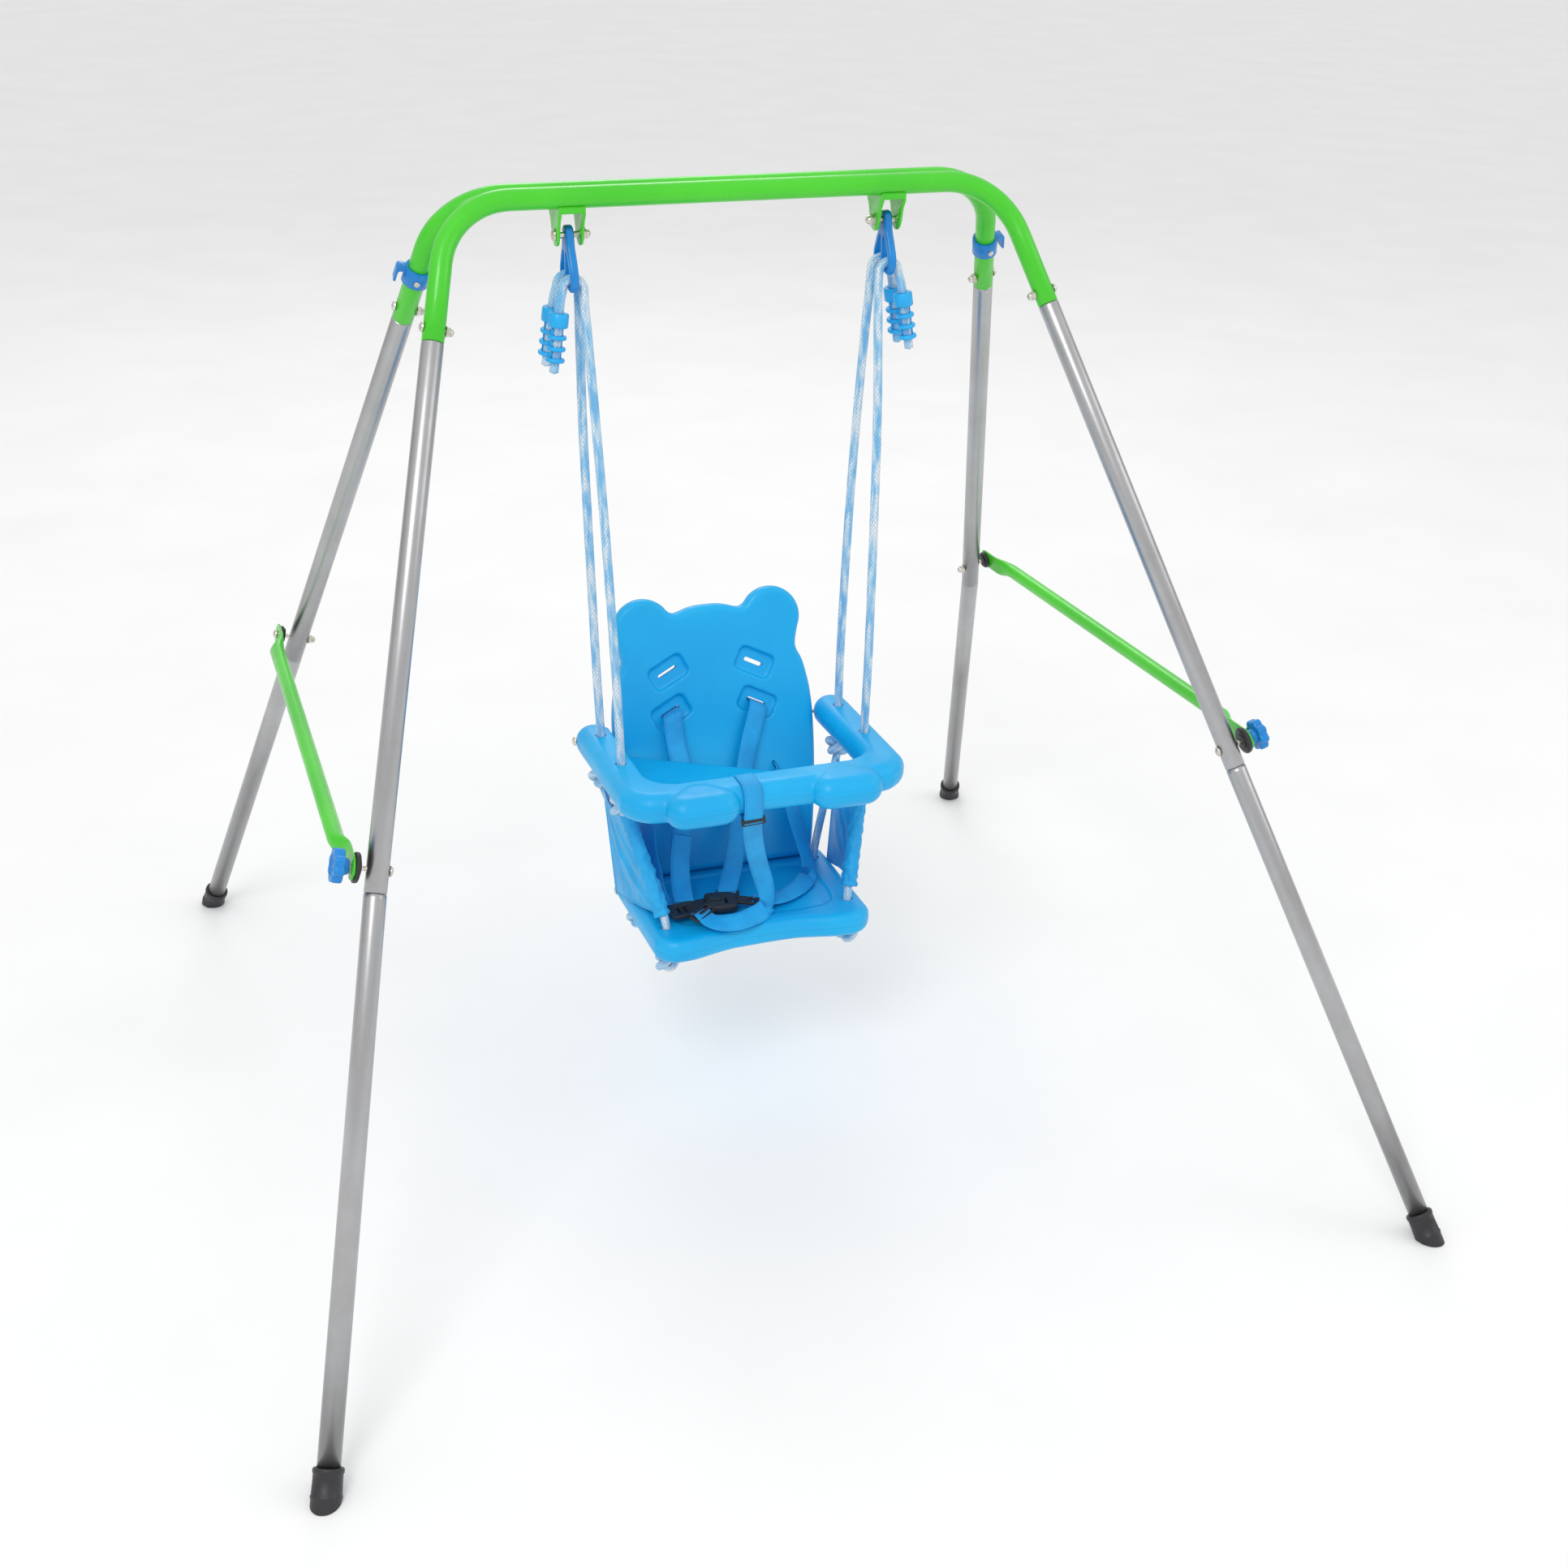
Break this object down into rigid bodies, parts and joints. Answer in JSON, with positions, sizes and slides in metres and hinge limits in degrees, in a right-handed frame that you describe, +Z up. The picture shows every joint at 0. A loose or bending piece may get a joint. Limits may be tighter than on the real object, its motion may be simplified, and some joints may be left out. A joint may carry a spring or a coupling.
{
  "type": "toddler garden swing set",
  "caption": "Folding garden swing: two hinged steel U frames on splayed legs, hooked side braces and a moulded bucket seat on ropes.",
  "frame": {"origin": "centre of the bounding box at ground level", "axes": "+X along the top bars, to the right as seen by the child's onlooker in front; -Y towards the open front of the seat; +Z up"},
  "size_m": [1.3896, 1.4394, 1.1943],
  "materials": {
    "green_paint": "gloss green powder coat",
    "galvanised_tube": "bright galvanised steel",
    "black_plastic": "moulded black plastic",
    "blue_plastic": "moulded mid blue plastic",
    "seat_plastic": "blow-moulded sky blue plastic, fine sheen",
    "adjuster_plastic": "moulded light blue plastic",
    "zinc_bolt": "zinc-plated steel",
    "rope": "braided white rope with light blue flecks",
    "panel_cloth": "woven blue cloth",
    "webbing": "woven blue webbing"
  },
  "bodies": {
    "rear_frame": {"brace_pivot_bolt_left": "zinc_bolt", "brace_pivot_bolt_right": "zinc_bolt", "hanger_bracket_left": "green_paint", "hanger_bracket_right": "green_paint", "hanger_pin_left": "zinc_bolt", "hanger_pin_right": "zinc_bolt", "rear_brace_spacer_left": "black_plastic", "rear_brace_spacer_right": "black_plastic", "rear_foot_left": "black_plastic", "rear_foot_right": "black_plastic", "rear_leg_bolt_left": "zinc_bolt", "rear_leg_bolt_right": "zinc_bolt", "rear_lower_leg_left": "galvanised_tube", "rear_lower_leg_right": "galvanised_tube", "rear_top_tube": "green_paint", "rear_upper_leg_left": "galvanised_tube", "rear_upper_leg_right": "galvanised_tube", "storage_hook_left": "blue_plastic", "storage_hook_right": "blue_plastic"},
    "front_frame": {"brace_lock_bolt_left": "zinc_bolt", "brace_lock_bolt_right": "zinc_bolt", "front_brace_spacer_left": "black_plastic", "front_brace_spacer_right": "black_plastic", "front_foot_left": "black_plastic", "front_foot_right": "black_plastic", "front_leg_bolt_left": "zinc_bolt", "front_leg_bolt_right": "zinc_bolt", "front_lower_leg_left": "galvanised_tube", "front_lower_leg_right": "galvanised_tube", "front_top_tube": "green_paint", "front_upper_leg_left": "galvanised_tube", "front_upper_leg_right": "galvanised_tube"},
    "brace_left": {"brace_left": "green_paint"},
    "brace_right": {"brace_right": "green_paint"},
    "knob_left": {"knob_left": "blue_plastic"},
    "knob_right": {"knob_right": "blue_plastic"},
    "swing": {"crotch_strap": "webbing", "guard_bar": "seat_plastic", "guard_bar_bolt_left": "zinc_bolt", "guard_bar_bolt_right": "zinc_bolt", "harness_buckle": "black_plastic", "lap_belt": "webbing", "rope_adjuster_left_front": "adjuster_plastic", "rope_adjuster_left_rear": "adjuster_plastic", "rope_adjuster_right_front": "adjuster_plastic", "rope_adjuster_right_rear": "adjuster_plastic", "rope_hook_left": "blue_plastic", "rope_hook_right": "blue_plastic", "rope_left_front": "rope", "rope_left_rear": "rope", "rope_right_front": "rope", "rope_right_rear": "rope", "seat_back": "seat_plastic", "seat_base": "seat_plastic", "seat_base_bolt_left": "zinc_bolt", "seat_base_bolt_right": "zinc_bolt", "shoulder_strap_left": "webbing", "shoulder_strap_right": "webbing", "side_panel_left": "panel_cloth", "side_panel_right": "panel_cloth"}
  },
  "joints": [
    {"name": "fold", "type": "hinge", "parent": "rear_frame", "child": "front_frame", "pos_m": [0, -0.015, 1.18], "axis": [1, 0, 0], "range_deg": [0, 56]},
    {"name": "brace_left_pivot", "type": "hinge", "parent": "rear_frame", "child": "brace_left", "pos_m": [-0.49799, 0.36577, 0.549], "axis": [-0.9632, 0.0323, 0.2667], "range_deg": [0, 61]},
    {"name": "brace_right_pivot", "type": "hinge", "parent": "rear_frame", "child": "brace_right", "pos_m": [0.49799, 0.36577, 0.549], "axis": [-0.9632, -0.0323, -0.2667], "range_deg": [0, 61]},
    {"name": "knob_left_turn", "type": "hinge", "parent": "front_frame", "child": "knob_left", "pos_m": [-0.52246, -0.3648, 0.549], "axis": [-0.9628, 0.0323, 0.2682], "continuous": true},
    {"name": "knob_right_turn", "type": "hinge", "parent": "front_frame", "child": "knob_right", "pos_m": [0.52246, -0.3648, 0.549], "axis": [0.9628, 0.0323, 0.2682], "continuous": true},
    {"name": "swing", "type": "hinge", "parent": "rear_frame", "child": "swing", "pos_m": [0, 0, 1.136], "axis": [1, 0, 0], "range_deg": [-45, 45]}
  ],
  "couplings": [
    {"joint": "brace_left_pivot", "follows": "fold", "ratio": 1.085},
    {"joint": "brace_right_pivot", "follows": "fold", "ratio": 1.085}
  ]
}
